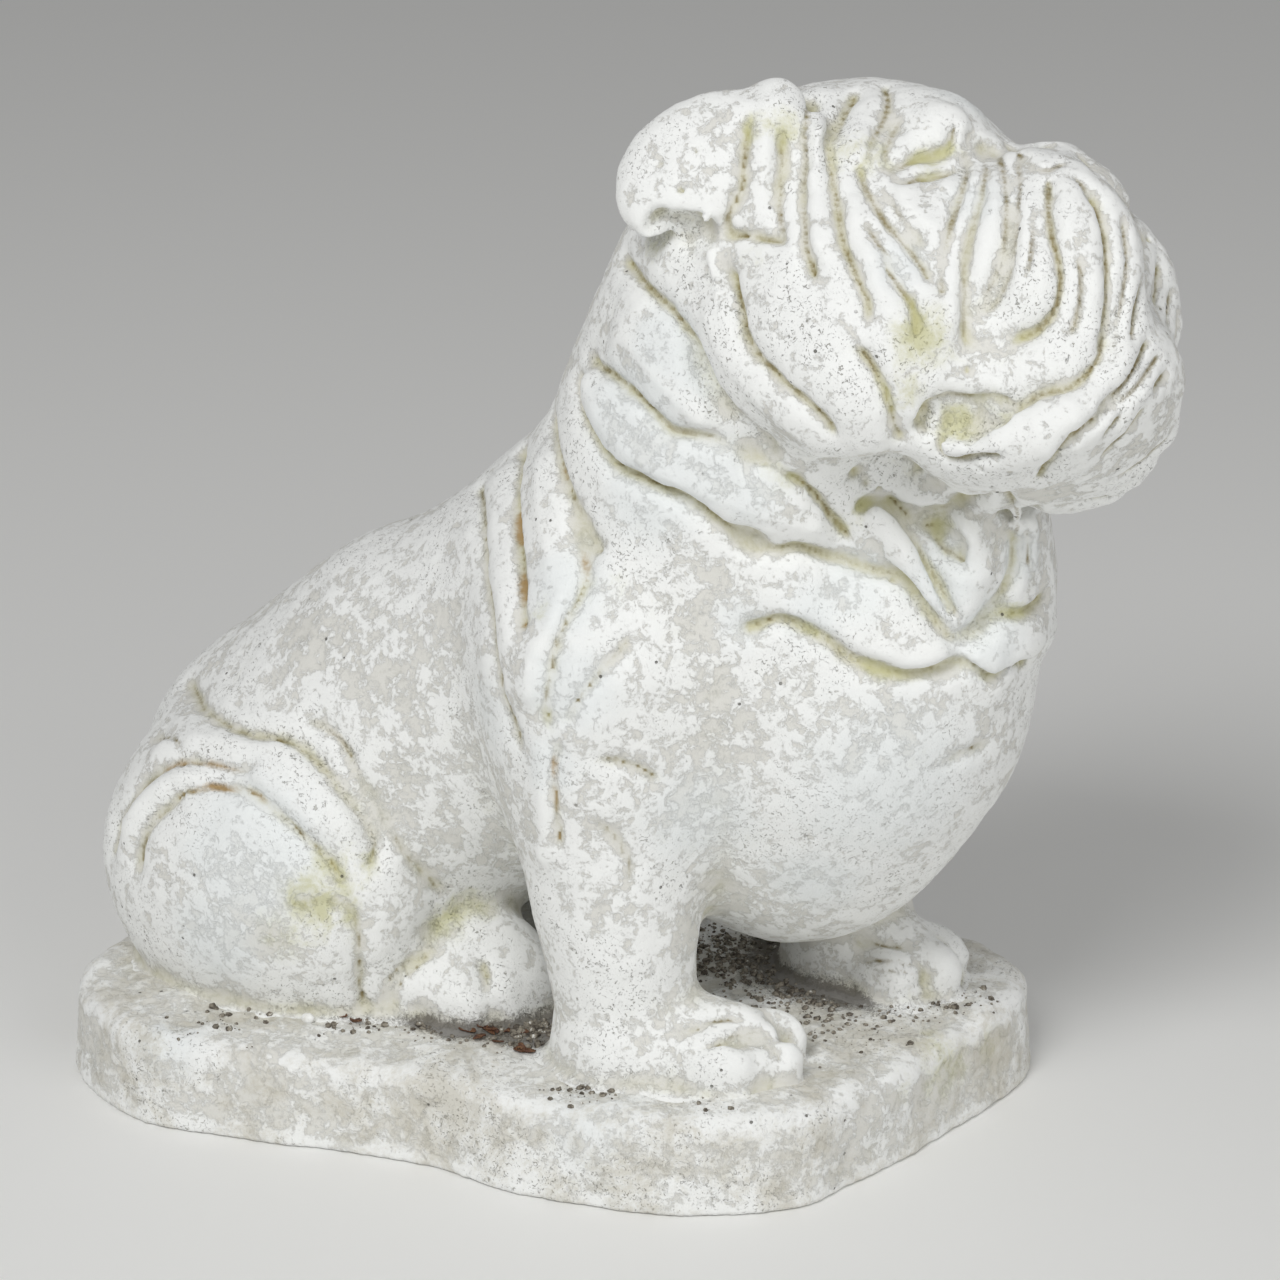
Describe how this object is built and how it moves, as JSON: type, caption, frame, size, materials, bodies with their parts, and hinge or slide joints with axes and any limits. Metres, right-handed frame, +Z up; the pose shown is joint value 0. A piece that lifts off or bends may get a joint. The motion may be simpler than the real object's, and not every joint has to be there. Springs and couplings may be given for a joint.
{
  "type": "bulldog garden statue",
  "caption": "Seated bulldog cast in stone with its kidney-shaped plinth, head turned and raised, deep folds on face, neck and haunch.",
  "frame": {"origin": "centre of the plinth's underside, on the ground", "axes": "+X the way the dog faces, +Y to the dog's left, +Z up"},
  "size_m": [0.4674, 0.2836, 0.4393],
  "materials": {
    "cast_stone": "weathered, rough, algae and dirt in the folds"
  },
  "bodies": {
    "root": {"bulldog_statue": "cast_stone"}
  },
  "joints": []
}
